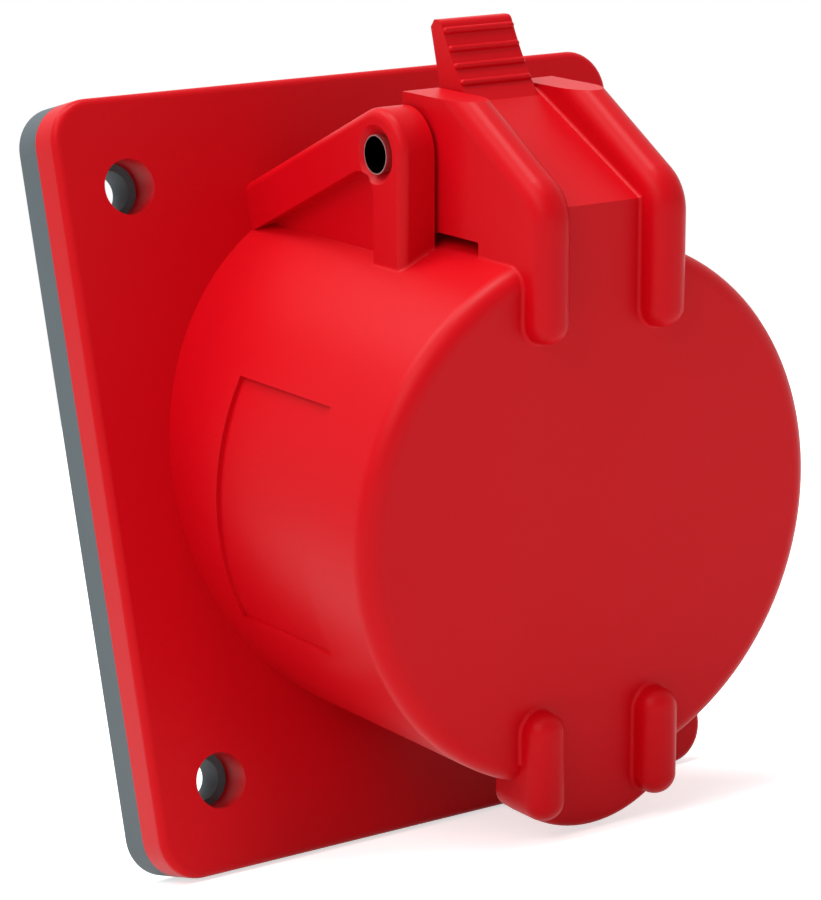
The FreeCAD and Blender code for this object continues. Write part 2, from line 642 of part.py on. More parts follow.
def make_lid_spring():
    """Torsion spring: coils round the pin, one leg behind the tab, one on the collar."""
    turns = SPRING_TURNS - (SPRING_LID_ANGLE - SPRING_COLLAR_ANGLE) / 360
    height = turns * SPRING_PITCH
    climb = SPRING_PITCH / (2 * math.pi)
    side_a = PIN_A - SPRING_RADIUS + SPRING_WIRE / 2
    reach = (TAB_TOP - WEB_UNDERSIDE_V) / (ARM_BACK - TAB_BACK_A)
    lid_leg = WEB_UNDERSIDE_V + reach * (ARM_BACK - side_a) - PIN_V - SPRING_LEG_GAP
    leave = math.radians(SPRING_COLLAR_ANGLE)
    rest_v = math.sqrt(COLLAR_R ** 2 - height ** 2 / 4) + SPRING_WIRE / 2 + SPRING_LEG_GAP
    collar_leg = (PIN_V + SPRING_RADIUS * math.sin(leave) - rest_v) / -math.cos(leave)

    start = Vector(SPRING_RADIUS, 0, 0)
    start_way = Vector(0, SPRING_RADIUS, climb).normalize()
    turn = 2 * math.pi * turns
    end = Vector(SPRING_RADIUS * math.cos(turn), SPRING_RADIUS * math.sin(turn), height)
    end_way = Vector(-end.y, end.x, climb).normalize()
    lid_tip = start - start_way * lid_leg
    coil = Part.makeHelix(SPRING_PITCH, height, SPRING_RADIUS)
    edges = [Part.makeLine(lid_tip, start)] + coil.Edges
    edges.append(Part.makeLine(end, end + end_way * collar_leg))
    wire = Part.Wire(edges)
    section = Part.Wire(Part.makeCircle(SPRING_WIRE / 2, lid_tip, start_way))
    spring = wire.makePipeShell([section], True, False)
    turned = Rotation(Vector(0, 1, 0), Vector(0, 0, -1), Vector(-1, 0, 0), "ZXY")
    spring.Placement = Placement(at(height / 2, PIN_A, PIN_V), turned)
    return in_world(spring)


def carrier_screw_places():
    """Centres of the carrier's screws, as (x, v)."""
    step = 360 / CARRIER_SCREW_COUNT
    return [pole_place(CARRIER_SCREW_FIRST + step * i, CARRIER_SCREW_CIRCLE_R)
            for i in range(CARRIER_SCREW_COUNT)]


def sleeve_radii(pin_bore):
    """Radii of a contact: front tube, spring ring, guide and shoulder."""
    tube = pin_bore / 2 + SLEEVE_WALL
    return tube, tube + RING_WALL, tube + GUIDE_STEP, tube + GUIDE_STEP + SHOULDER


def make_contact_carrier():
    """The insert's front half: face, tubes for the contacts and a base flange."""
    body = rod(CARRIER_R, CARRIER_BACK, CARRIER_FRONT)
    rim = edges_where(body, lambda edge, middle: abs(-middle.y - CARRIER_FRONT) < 1e-3)
    body = body.makeFillet(CARRIER_EDGE, rim)
    core = rod(CARRIER_R - CARRIER_WALL, CARRIER_BACK - 1, CARRIER_FRONT - CARRIER_FACE)
    core = core.cut(rod(CARRIER_POST_D / 2, CARRIER_BACK - 1, CARRIER_FRONT))
    for angle, pin_bore in zip(POLE_ANGLES, PIN_BORE):
        x, v = pole_place(angle)
        guide = sleeve_radii(pin_bore)[2]
        core = core.cut(rod(guide + SLEEVE_CLEARANCE + CARRIER_TUBE_WALL,
                            CARRIER_BACK - 1, CARRIER_FRONT, x, v))
    body = body.cut(core)
    base = ring(CARRIER_BASE_R, CARRIER_R - CARRIER_WALL / 2, CARRIER_BACK, CARRIER_BASE_FRONT)
    body = body.fuse(base)
    for angle, pin_bore in zip(POLE_ANGLES, PIN_BORE):
        x, v = pole_place(angle)
        guide = sleeve_radii(pin_bore)[2]
        body = body.cut(rod(guide + SLEEVE_CLEARANCE, CARRIER_BACK - 1, SLEEVE_FRONT, x, v))
        entry = (pin_bore + ENTRY_CLEARANCE) / 2
        body = body.cut(rod(entry, SLEEVE_FRONT - 1, CARRIER_FRONT + 1, x, v))
    for x, v in carrier_screw_places():
        body = body.cut(rod(CARRIER_SCREW_D / 2 + SCREW_CLEARANCE,
                            CARRIER_BACK - 1, CARRIER_BASE_FRONT + 1, x, v))
    pilot_end = CARRIER_BACK + CENTRE_SCREW_REACH + PILOT_SPARE
    body = body.cut(rod(CENTRE_SCREW_D / 2 + THREAD_CLEARANCE, CARRIER_BACK - 1, pilot_end))
    return in_world(body.removeSplitter())


def make_carrier_seal():
    """Flat rubber ring between the housing's ledge and the carrier's base."""
    body = ring(CARRIER_BASE_R, LEDGE_BORE_R, CARRIER_BASE_FRONT, LEDGE_BACK)
    for x, v in carrier_screw_places():
        body = body.cut(rod(CARRIER_SCREW_D / 2 + SCREW_CLEARANCE,
                            CARRIER_BASE_FRONT - 1, LEDGE_BACK + 1, x, v))
    return in_world(body)


def make_terminal_carrier():
    """The insert's rear half: pockets for the terminals, funnels and windows."""
    body = rod(CARRIER_R - TERMINAL_STEP, TERMINAL_BACK, CARRIER_BACK)
    rear_wall = TERMINAL_BACK + TERMINAL_REAR_WALL
    for angle, pin_bore in zip(POLE_ANGLES, PIN_BORE):
        x, v = pole_place(angle)
        guide, shoulder = sleeve_radii(pin_bore)[2:]
        body = body.cut(rod(guide + SLEEVE_CLEARANCE, rear_wall, CARRIER_BACK + 1, x, v))
        body = body.cut(rod(shoulder + SLEEVE_CLEARANCE,
                            CARRIER_BACK - SHOULDER_LENGTH, CARRIER_BACK + 1, x, v))
        narrow = WIRE_BORE_D / 2 + WIRE_CLEARANCE
        body = body.cut(rod(narrow, TERMINAL_BACK - 1, rear_wall + 1, x, v))
        body = body.cut(Part.makeCone(WIRE_FUNNEL_D / 2, narrow, TERMINAL_REAR_WALL,
                                      at(x, TERMINAL_BACK, v), Vector(0, -1, 0)))
        window = Part.makeCylinder(WINDOW_D / 2, CARRIER_D, at(x, SCREW_A, v), Vector(x, 0, v))
        body = body.cut(window)
    recess = TERMINAL_BACK + CENTRE_SCREW_HEAD
    body = body.cut(rod(CENTRE_SCREW_HEAD_D / 2 + CARRIER_CLEARANCE, TERMINAL_BACK - 1, recess))
    body = body.cut(rod(CENTRE_SCREW_D / 2 + SCREW_CLEARANCE, TERMINAL_BACK, CARRIER_BACK + 1))
    return in_world(body.removeSplitter())


def at_pole(shape, angle):
    """Turn a shape, made for a pole on the +X side, round the axis to its place."""
    placed = shape.copy()
    placed.rotate(Vector(0, 0, 0), Vector(0, 1, 0), -angle)
    return placed


def make_contact_sleeve(angle, pin_bore):
    """A turned contact: slotted tube, guide, shoulder and screw terminal."""
    x = PITCH_RADIUS
    tube, _, guide, shoulder = sleeve_radii(pin_bore)
    tip = SLEEVE_FRONT - SLEEVE_END_GAP
    body = rod(tube, TERMINAL_END, tip, x)
    body = body.fuse(rod(guide, TERMINAL_END, CARRIER_BACK + GUIDE_LENGTH, x))
    body = body.fuse(rod(shoulder, CARRIER_BACK - SHOULDER_LENGTH, CARRIER_BACK, x))
    body = body.cut(rod(pin_bore / 2, tip - PIN_BORE_DEPTH, tip + 1, x))
    body = body.cut(rod(WIRE_BORE_D / 2, TERMINAL_END - 1, TERMINAL_END + WIRE_BORE_DEPTH, x))
    for half_x, half_v in ((SLOT_WIDTH / 2, guide), (guide, SLOT_WIDTH / 2)):
        body = body.cut(block((x - half_x, x + half_x), (tip - SLOT_LENGTH, tip + 1), (-half_v, half_v)))
    thread = Part.makeCylinder(SCREW_D / 2 + THREAD_CLEARANCE, CARRIER_D, at(x, SCREW_A, 0), Vector(1, 0, 0))
    return in_world(at_pole(body.cut(thread).removeSplitter(), angle))


def make_spring_ring(angle, pin_bore):
    """Split steel ring that presses a contact's tongues together."""
    tube, outer = sleeve_radii(pin_bore)[:2]
    front = SLEEVE_FRONT - SLEEVE_END_GAP - RING_SETBACK
    body = ring(outer, tube, front - RING_LENGTH, front)
    gap = block((0, 2 * outer), (front - RING_LENGTH - 1, front + 1), (-RING_GAP / 2, RING_GAP / 2))
    gap.rotate(Vector(0, 0, 0), Vector(0, 1, 0), RING_GAP_ANGLE)
    body = body.cut(gap)
    body.translate(Vector(PITCH_RADIUS, 0, 0))
    return in_world(at_pole(body, angle))


def make_terminal_screws():
    """Five clamp screws, set radially through the terminals' walls."""
    screws = []
    outward = Vector(1, 0, 0)
    for angle, pin_bore in zip(POLE_ANGLES, PIN_BORE):
        seat = PITCH_RADIUS + sleeve_radii(pin_bore)[2] + SCREW_HEAD_GAP
        top = seat + SCREW_HEAD_LENGTH
        tip = PITCH_RADIUS + SCREW_TIP
        shank = Part.makeCylinder(SCREW_D / 2, seat - tip, at(tip, SCREW_A, 0), outward)
        head = Part.makeCylinder(SCREW_HEAD_D / 2, SCREW_HEAD_LENGTH, at(seat, SCREW_A, 0), outward)
        slot = block((top - SCREW_SLOT_DEPTH, top + 1), (SCREW_A - SCREW_HEAD_D, SCREW_A + SCREW_HEAD_D),
                     (-SCREW_SLOT / 2, SCREW_SLOT / 2))
        screws.append(at_pole(shank.fuse(head).cut(slot), angle))
    return in_world(Part.makeCompound(screws))


def cross_headed_screw(diameter, tip_a, head_d, head, seat_a, x=0.0, v=0.0):
    """A pan-head screw put in from the rear, with a cross recess in its head."""
    body = rod(diameter / 2, seat_a, tip_a, x, v).fuse(rod(head_d / 2, seat_a - head, seat_a, x, v))
    reach = head_d / 3
    for half_x, half_v in ((CROSS_WIDTH / 2, reach), (reach, CROSS_WIDTH / 2)):
        body = body.cut(block((x - half_x, x + half_x), (seat_a - head - 1, seat_a - head + CROSS_DEPTH),
                              (v - half_v, v + half_v)))
    return body


def make_carrier_screws():
    """Screws that hold the carrier's base on the ledge."""
    tip = LEDGE_BACK + CARRIER_SCREW_REACH
    screws = [cross_headed_screw(CARRIER_SCREW_D, tip, CARRIER_SCREW_HEAD_D, CARRIER_SCREW_HEAD,
                                 CARRIER_BACK, x, v) for x, v in carrier_screw_places()]
    return in_world(Part.makeCompound(screws))


def make_centre_screw():
    """The screw that joins the insert's two halves."""
    return in_world(cross_headed_screw(CENTRE_SCREW_D, CARRIER_BACK + CENTRE_SCREW_REACH,
                                       CENTRE_SCREW_HEAD_D, CENTRE_SCREW_HEAD,
                                       TERMINAL_BACK + CENTRE_SCREW_HEAD))


pieces = {
    "front_housing": make_front_housing(),
    "flange_gasket": make_flange_gasket(),
    "lid": make_lid(),
    "lid_seal": make_lid_seal(),
    "hinge_pin": make_hinge_pin(),
    "lid_spring": make_lid_spring(),
    "contact_carrier": make_contact_carrier(),
    "carrier_seal": make_carrier_seal(),
    "terminal_carrier": make_terminal_carrier(),
    "terminal_screws": make_terminal_screws(),
    "carrier_screws": make_carrier_screws(),
    "centre_screw": make_centre_screw(),
}
for pole, pole_angle, bore in zip(POLES, POLE_ANGLES, PIN_BORE):
    pieces["contact_sleeve_" + pole] = make_contact_sleeve(pole_angle, bore)
    pieces["spring_ring_" + pole] = make_spring_ring(pole_angle, bore)

os.makedirs("parts", exist_ok=True)
for name, shape in pieces.items():
    shape.exportStep("parts/" + name + ".step")
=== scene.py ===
import math
from collections import namedtuple

import bmesh
import bpy
from mathutils import Matrix, Quaternion, Vector


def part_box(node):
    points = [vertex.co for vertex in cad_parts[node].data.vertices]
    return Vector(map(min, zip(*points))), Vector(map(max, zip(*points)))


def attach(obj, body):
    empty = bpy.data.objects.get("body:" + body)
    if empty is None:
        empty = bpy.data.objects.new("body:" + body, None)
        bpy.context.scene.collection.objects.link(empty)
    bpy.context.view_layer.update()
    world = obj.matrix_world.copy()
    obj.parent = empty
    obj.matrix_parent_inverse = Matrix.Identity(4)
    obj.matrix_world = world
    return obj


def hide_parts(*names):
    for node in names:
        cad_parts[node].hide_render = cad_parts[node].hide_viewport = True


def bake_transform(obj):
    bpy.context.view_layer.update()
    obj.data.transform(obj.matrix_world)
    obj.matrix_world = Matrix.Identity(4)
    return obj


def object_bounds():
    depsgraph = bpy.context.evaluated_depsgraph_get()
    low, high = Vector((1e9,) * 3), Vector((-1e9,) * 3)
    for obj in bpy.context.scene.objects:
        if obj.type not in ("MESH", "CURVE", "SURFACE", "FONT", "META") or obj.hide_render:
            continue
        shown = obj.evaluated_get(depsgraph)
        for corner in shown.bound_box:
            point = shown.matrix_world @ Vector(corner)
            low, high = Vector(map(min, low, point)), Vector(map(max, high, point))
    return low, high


Lamp = namedtuple("Lamp", "name place size power")
Screw = namedtuple("Screw", "head_across head_height shank_across shank_length")

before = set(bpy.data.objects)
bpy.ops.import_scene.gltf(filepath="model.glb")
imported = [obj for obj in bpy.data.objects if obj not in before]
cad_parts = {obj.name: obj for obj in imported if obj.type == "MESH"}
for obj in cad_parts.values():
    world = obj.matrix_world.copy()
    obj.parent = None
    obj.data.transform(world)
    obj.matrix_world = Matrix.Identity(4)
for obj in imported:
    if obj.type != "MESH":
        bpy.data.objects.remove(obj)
cad_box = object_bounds()
MM = 0.001

# Camera: a long lens, level with the socket, from its left and a little turned
CAMERA_PLACE = Vector((-250.9, -390.8, 13.2)) * MM
CAMERA_AIM = Vector((-11.34, -30.0, -0.03)) * MM
CAMERA_ROLL = math.radians(-8.62)
CAMERA_LENS = 150.8
CAMERA_SENSOR = 36.0
CAMERA_NEAR = 10 * MM

# Floor, just under the lowest edge, and how white it looks near the socket and away from it
FLOOR_DROP = 0.4 * MM
FLOOR_HALF = 6.0
FLOOR_COLOUR = (0.85, 0.85, 0.85, 1)
FLOOR_ROUGHNESS = 0.9
FLOOR_GLOW_NEAR = 0.6
FLOOR_GLOW_FAR = 1.0
FLOOR_GLOW_REACH = 0.45

# Light: soft square lamps, their sides in metres and power in watts, and how strongly the room
# lights the socket and looks when it is seen
LAMPS = (
    Lamp("left_softbox", (-0.63, -0.14, 0.64), 0.35, 1.5),
    Lamp("front_softbox", (-0.64, -0.44, 0.51), 0.48, 1.75),
    Lamp("top_softbox", (-0.06, -0.14, 0.89), 0.35, 4.6),
    Lamp("rear_softbox", (-0.32, 0.24, 0.79), 0.35, 2.5),
)
LAMP_AIM = Vector((0.0, -0.03, 0.0))
ROOM_LIGHT = 0.42
ROOM_SEEN = 1.0
WHITE = (1, 1, 1, 1)

# Surface colours, linear light
RED = (0.56, 0.0010, 0.0060, 1)
RED_DEEP = (0.54, 0.0008, 0.0050, 1)
GASKET_GREY = (0.105, 0.13, 0.14, 1)
GASKET_DARK = (0.085, 0.105, 0.115, 1)
INSERT_GREY = (0.30, 0.315, 0.32, 1)
INSERT_SHADE = (0.27, 0.285, 0.29, 1)
TERMINAL_BLACK = (0.025, 0.025, 0.027, 1)
TERMINAL_SHADE = (0.018, 0.018, 0.020, 1)
SEAL_BLACK = (0.018, 0.018, 0.019, 1)
SEAL_BLOOM = (0.030, 0.030, 0.032, 1)
STEEL = (0.58, 0.575, 0.56, 1)
STEEL_DARK = (0.42, 0.415, 0.40, 1)
SPRING_GREY = (0.30, 0.295, 0.285, 1)
SPRING_DARK = (0.20, 0.195, 0.19, 1)
ZINC = (0.66, 0.67, 0.66, 1)
ZINC_WARM = (0.60, 0.58, 0.50, 1)
BRASS = (0.80, 0.60, 0.27, 1)
BRASS_DARK = (0.62, 0.44, 0.18, 1)
# Painted shade: near black put down the hinge pin's bore
BORE_PAINTED_SHADE = (0.002, 0.002, 0.002, 1)

# Surface texture that all finishes share
DRIFT_DETAIL = 2.0
GRAIN_DETAIL = 3.0
BUMP_HEIGHT = 0.02 * MM
LINE_WAVINESS = 0.4
LINE_STRAY_SCALE = 900.0
LINE_STRAY_DETAIL = 2.0

# The collar's own frame
TILT = math.radians(15.1)
FLANGE_FRONT = 9.5 * MM

# Hinge pin: the radius inside which its bore is painted near black as shade
PIN_BORE_RADIUS = 2.3 * MM

# Lid spring: six turns, less the angle between its two legs
SPRING_RADIUS = 3.35 * MM
SPRING_WIRE = 1.1 * MM
SPRING_PITCH = 1.35 * MM
SPRING_FULL_TURNS = 6
SPRING_LEG_ANGLE = 30
SPRING_TURNS = SPRING_FULL_TURNS - SPRING_LEG_ANGLE / 360
SPRING_LID_LEG = 7.3 * MM
SPRING_COLLAR_LEG = 12.0 * MM
SPRING_STEPS = 320
SPRING_SIDES = 16
SPRING_SHARP_ANGLE = math.radians(40)

# Screws, in millimetres and degrees: circles and seats are distances from the collar's axis,
# and backs are places along it, behind the flange's front
CARRIER_SCREW = Screw(3.6, 1.6, 2.5, 8.5)
CARRIER_SCREW_BACK = -18.0
CARRIER_CIRCLE = 26.7
CARRIER_ANGLES = (30, 150, 270)
CENTRE_SCREW = Screw(7.0, 2.6, 4.0, 31.4)
CENTRE_SCREW_BACK = -37.4
TERMINAL_SCREW = Screw(5.6, 1.8, 4.0, 3.2)
TERMINAL_SCREW_BACK = -25.0
TERMINAL_SEAT = 21.05
EARTH_SEAT = 22.05
EARTH_ANGLE = 270
TERMINAL_ANGLES = (198, 126, 54, 342, EARTH_ANGLE)
RECESS_DEPTH = 0.9
RECESS_WIDTH = 0.8
SLOT_WIDTH = 0.8
SLOT_DEPTH = 1.0

# Screw shapes: broken edges as a share of the head's radius, the dome as a share of its height,
# and the cross recess's reach as a share of its width
EDGE_BREAK = 0.12
DOME_SHARE = 0.45
DOME_STEPS = 8
CROSS_REACH = 0.66
SCREW_SIDES = 48
SCREW_SHARP_ANGLE = math.radians(35)

# Seed for how far each screw is turned
SCREW_SEED = 7

# Kinds of node socket
COLOUR = "NodeSocketColor"
NUMBER = "NodeSocketFloat"
COUNT = "NodeSocketInt"
VECTOR = "NodeSocketVector"
GEOMETRY = "NodeSocketGeometry"
OBJECT = "NodeSocketObject"
MATERIAL = "NodeSocketMaterial"


def new_tree(name, inputs, outputs, kind="ShaderNodeTree"):
    """A node group with named sockets: the group, what it is given and what it puts out."""
    tree = bpy.data.node_groups.new(name, kind)
    for socket, socket_kind in inputs.items():
        tree.interface.new_socket(socket, in_out="INPUT", socket_type=socket_kind)
    for socket, socket_kind in outputs.items():
        tree.interface.new_socket(socket, in_out="OUTPUT", socket_type=socket_kind)
    given = tree.nodes.new("NodeGroupInput")
    out = tree.nodes.new("NodeGroupOutput")
    return tree, given.outputs, out.inputs


def feed(tree, socket, value):
    """Link a socket to an output, or set its value."""
    if isinstance(value, bpy.types.NodeSocket):
        tree.links.new(value, socket)
    else:
        socket.default_value = value


def add(tree, kind, **settings):
    """A node with its settings and inputs, an input's blanks written as underscores."""
    node = tree.nodes.new(kind)
    for name, value in settings.items():
        socket = name.replace("_", " ")
        if socket in node.inputs:
            feed(tree, node.inputs[socket], value)
        else:
            setattr(node, name, value)
    return node


def output_of(node, kind):
    """A node's output of one kind, where outputs of several kinds share a name."""
    return next(socket for socket in node.outputs if socket.type == kind)


def maths(tree, operation, *values):
    """One step of arithmetic on outputs or numbers."""
    node = add(tree, "ShaderNodeMath", operation=operation)
    for socket, value in zip(node.inputs, values):
        feed(tree, socket, value)
    return node.outputs["Value"]


def vector_maths(tree, operation, *values):
    """One step of vector arithmetic: a number for a length or a dot product, else a vector."""
    node = add(tree, "ShaderNodeVectorMath", operation=operation)
    for socket, value in zip(node.inputs, values):
        feed(tree, socket, value)
    return node.outputs["Value" if operation in ("LENGTH", "DOT_PRODUCT") else "Vector"]


def noise(tree, place, scale, detail):
    """Soft noise over a surface, from zero to one."""
    return add(tree, "ShaderNodeTexNoise", Vector=place, Scale=scale, Detail=detail).outputs["Fac"]


def colour_mix(tree, share, first, second):
    """The first colour where the share is zero, the second where it is one."""
    node = add(tree, "ShaderNodeMix", data_type="RGBA", Factor=share)
    sockets = [socket for socket in node.inputs if socket.type == "RGBA"]
    for socket, colour in zip(sockets, (first, second)):
        feed(tree, socket, colour)
    return output_of(node, "RGBA")


def object_place(tree):
    """Where a point of the surface is on its object."""
    return tree.nodes.new("ShaderNodeTexCoord").outputs["Object"]


def build_moulded_skin():
    """Moulded surface: slow colour drift, fine grain and a patchy gloss."""
    tree, given, out = new_tree(
        "moulded_skin",
        {"Colour": COLOUR, "Deep Colour": COLOUR, "Drift Scale": NUMBER, "Grain Scale": NUMBER,
         "Grain Depth": NUMBER, "Gloss Low": NUMBER, "Gloss High": NUMBER},
        {"Colour": COLOUR, "Roughness": NUMBER, "Normal": VECTOR},
    )
    place = object_place(tree)
    drift = noise(tree, place, given["Drift Scale"], DRIFT_DETAIL)
    feed(tree, out["Colour"], colour_mix(tree, drift, given["Colour"], given["Deep Colour"]))
    gloss = add(tree, "ShaderNodeMapRange", Value=drift, To_Min=given["Gloss Low"],
                To_Max=given["Gloss High"])
    feed(tree, out["Roughness"], gloss.outputs["Result"])
    grain = noise(tree, place, given["Grain Scale"], GRAIN_DETAIL)
    bump = add(tree, "ShaderNodeBump", Distance=BUMP_HEIGHT, Strength=given["Grain Depth"],
               Height=grain)
    feed(tree, out["Normal"], bump.outputs["Normal"])
    return tree


def build_turned_lines():
    """Fine lines left by a tool, straight across one axis of the piece."""
    tree, given, out = new_tree(
        "turned_lines",
        {"Along": VECTOR, "Lines Per Metre": NUMBER, "Waviness": NUMBER},
        {"Height": NUMBER},
    )
    place = object_place(tree)
    along = vector_maths(tree, "DOT_PRODUCT", place, given["Along"])
    turns = maths(tree, "MULTIPLY", along, given["Lines Per Metre"])
    stray = noise(tree, place, LINE_STRAY_SCALE, LINE_STRAY_DETAIL)
    shift = maths(tree, "MULTIPLY", stray, given["Waviness"])
    angle = maths(tree, "MULTIPLY", maths(tree, "ADD", turns, shift), 2 * math.pi)
    height = maths(tree, "MULTIPLY_ADD", maths(tree, "SINE", angle), 0.5, 0.5)
    feed(tree, out["Height"], height)
    return tree


def build_inside_radius():
    """A mask of one within a radius of a line along X, and of zero outside it."""
    tree, given, out = new_tree(
        "inside_radius",
        {"Centre": VECTOR, "Radius": NUMBER},
        {"Mask": NUMBER},
    )
    offset = vector_maths(tree, "SUBTRACT", object_place(tree), given["Centre"])
    across = vector_maths(tree, "MULTIPLY", offset, (0.0, 1.0, 1.0))
    distance = vector_maths(tree, "LENGTH", across)
    feed(tree, out["Mask"], maths(tree, "LESS_THAN", distance, given["Radius"]))
    return tree


MOULDED_SKIN = build_moulded_skin()
TURNED_LINES = build_turned_lines()
INSIDE_RADIUS = build_inside_radius()


def placed_group(tree, group, **values):
    """A group in a material with its own values, its inputs named in small letters with underscores."""
    node = tree.nodes.new("ShaderNodeGroup")
    node.node_tree = group
    for name, value in values.items():
        node.inputs[name.replace("_", " ").title()].default_value = value
    return node


def shader_of(material):
    """The material's own surface shader."""
    return material.node_tree.nodes["Principled BSDF"]


def skin_material(name, colours, gloss, drift=30.0, grain=2500.0, depth=0.1, metal=0.0, shine=0.5):
    """A material whose colour, gloss and grain come from the moulded_skin group."""
    material = bpy.data.materials.new(name)
    material.use_nodes = True
    tree = material.node_tree
    shader = shader_of(material)
    skin = placed_group(tree, MOULDED_SKIN, colour=colours[0], deep_colour=colours[1],
                        drift_scale=drift, grain_scale=grain, grain_depth=depth,
                        gloss_low=gloss[0], gloss_high=gloss[1])
    skin.name = "skin"
    feed(tree, shader.inputs["Base Color"], skin.outputs["Colour"])
    feed(tree, shader.inputs["Roughness"], skin.outputs["Roughness"])
    feed(tree, shader.inputs["Normal"], skin.outputs["Normal"])
    shader.inputs["Metallic"].default_value = metal
    shader.inputs["Specular IOR Level"].default_value = shine
    return material


def turned_material(name, colours, gloss, along, lines_per_metre, line_depth, drift=30.0):
    """A bare metal with its tool's lines on top of its grain."""
    material = skin_material(name, colours, gloss, drift=drift, metal=1.0)
    tree = material.node_tree
    lines = placed_group(tree, TURNED_LINES, along=along, lines_per_metre=lines_per_metre,
                         waviness=LINE_WAVINESS)
    bump = add(tree, "ShaderNodeBump", Distance=BUMP_HEIGHT, Strength=line_depth,
               Height=lines.outputs["Height"], Normal=tree.nodes["skin"].outputs["Normal"])
    feed(tree, shader_of(material).inputs["Normal"], bump.outputs["Normal"])
    return material


def paint_bore_shade(material, centre, radius):
    """Painted shade: near black down the bore of a tube that lies along X, in place of the shade inside
    it.
    """
    tree = material.node_tree
    bore = placed_group(tree, INSIDE_RADIUS, centre=centre, radius=radius)
    metal = tree.nodes["skin"].outputs["Colour"]
    shade = colour_mix(tree, bore.outputs["Mask"], metal, BORE_PAINTED_SHADE)
    feed(tree, shader_of(material).inputs["Base Color"], shade)


def collar_way(x, forward, up):
    """A direction of the collar's frame, in the object's frame."""
    lean, rise = math.sin(TILT), math.cos(TILT)
    return Vector((x, -forward * rise - up * lean, up * rise - forward * lean))


def collar_point(x, forward, up):
    """A place given in millimetres in the collar's frame, in the object's frame."""
    return collar_way(x, forward, up) * MM - Vector((0, FLANGE_FRONT, 0))


FORWARD = collar_way(0, 1, 0)
pin_low, pin_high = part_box("hinge_pin")
PIN_CENTRE = (Vector(pin_low) + Vector(pin_high)) / 2

red_plastic = skin_material("red_plastic", (RED, RED_DEEP), gloss=(0.36, 0.44), shine=0.12)
gasket_rubber = skin_material("gasket_rubber", (GASKET_GREY, GASKET_DARK), gloss=(0.55, 0.7),
                              grain=1800.0, depth=0.4, shine=0.2)
seal_rubber = skin_material("seal_rubber", (SEAL_BLACK, SEAL_BLOOM), gloss=(0.5, 0.6),
                            drift=60.0, depth=0.2)
insert_plastic = skin_material("insert_plastic", (INSERT_GREY, INSERT_SHADE),
                               gloss=(0.4, 0.5), shine=0.3)
terminal_plastic = skin_material("terminal_plastic", (TERMINAL_BLACK, TERMINAL_SHADE),
                                 gloss=(0.4, 0.5), shine=0.3)
pin_steel = turned_material("pin_steel", (STEEL, STEEL_DARK), gloss=(0.25, 0.35),
                            along=(1, 0, 0), lines_per_metre=3000.0, line_depth=0.15)
# Painted shade: the pin's bore is coloured near black
paint_bore_shade(pin_steel, PIN_CENTRE, PIN_BORE_RADIUS)
ring_steel = skin_material("ring_steel", (STEEL, STEEL_DARK), gloss=(0.2, 0.3), metal=1.0)
spring_wire = skin_material("spring_wire", (SPRING_GREY, SPRING_DARK), gloss=(0.3, 0.4),
                            drift=400.0, metal=1.0)
screw_zinc = turned_material("screw_zinc", (ZINC, ZINC_WARM), gloss=(0.25, 0.4), drift=500.0,
                             along=FORWARD, lines_per_metre=2500.0, line_depth=0.1)
contact_brass = turned_material("contact_brass", (BRASS, BRASS_DARK), gloss=(0.2, 0.32), drift=150.0,
                                along=FORWARD, lines_per_metre=4000.0, line_depth=0.2)

FINISHES = {
    "front_housing": red_plastic,
    "lid": red_plastic,
    "flange_gasket": gasket_rubber,
    "lid_seal": seal_rubber,
    "carrier_seal": seal_rubber,
    "contact_carrier": insert_plastic,
    "terminal_carrier": terminal_plastic,
    "hinge_pin": pin_steel,
    "lid_spring": spring_wire,
    "terminal_screws": screw_zinc,
    "carrier_screws": screw_zinc,
    "centre_screw": screw_zinc,
}


def finish_of(node):
    """The material of a CAD node, by its name or the family it is in."""
    if node.startswith("contact_sleeve"):
        return contact_brass
    if node.startswith("spring_ring"):
        return ring_steel
    return FINISHES[node]


def dress_nodes():
    """Give every CAD node its finish."""
    for name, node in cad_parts.items():
        node.data.materials.clear()
        node.data.materials.append(finish_of(name))


def new_object(name, data):
    """A new object in the scene, at the origin."""
    made = bpy.data.objects.new(name, data)
    bpy.context.scene.collection.objects.link(made)
    return made


def mesh_of(source):
    """The plain mesh that an object's modifiers make of it."""
    seen = source.evaluated_get(bpy.context.evaluated_depsgraph_get())
    return bpy.data.meshes.new_from_object(seen)


def shade_smooth(mesh, sharp_angle):
    """Smooth shading, apart from edges sharper than an angle."""
    mesh.polygons.foreach_set("use_smooth", [True] * len(mesh.polygons))
    mesh.set_sharp_from_angle(angle=sharp_angle)


def made_by_nodes(name, host, tree, values):
    """The plain mesh object that a Geometry Nodes tree makes from a host mesh.

    Each value goes in by its socket's identifier, before the first evaluation.
    """
    source = new_object(name + "_host", host)
    modifier = source.modifiers.new("nodes", "NODES")
    modifier.node_group = tree
    for item in tree.interface.items_tree:
        if item.in_out == "INPUT" and item.name in values:
            modifier[item.identifier] = values[item.name]
    mesh = mesh_of(source)
    source.modifiers.remove(modifier)
    bpy.data.objects.remove(source)
    mesh.name = name
    return new_object(name, mesh)


def finish_tree(tree, given, out, geometry):
    """Close a Geometry Nodes tree: plain mesh, then its material."""
    plain = add(tree, "GeometryNodeRealizeInstances", Geometry=geometry)
    finish = add(tree, "GeometryNodeSetMaterial", Geometry=plain.outputs["Geometry"],
                 Material=given["Finish"])
    feed(tree, out["Geometry"], finish.outputs["Geometry"])


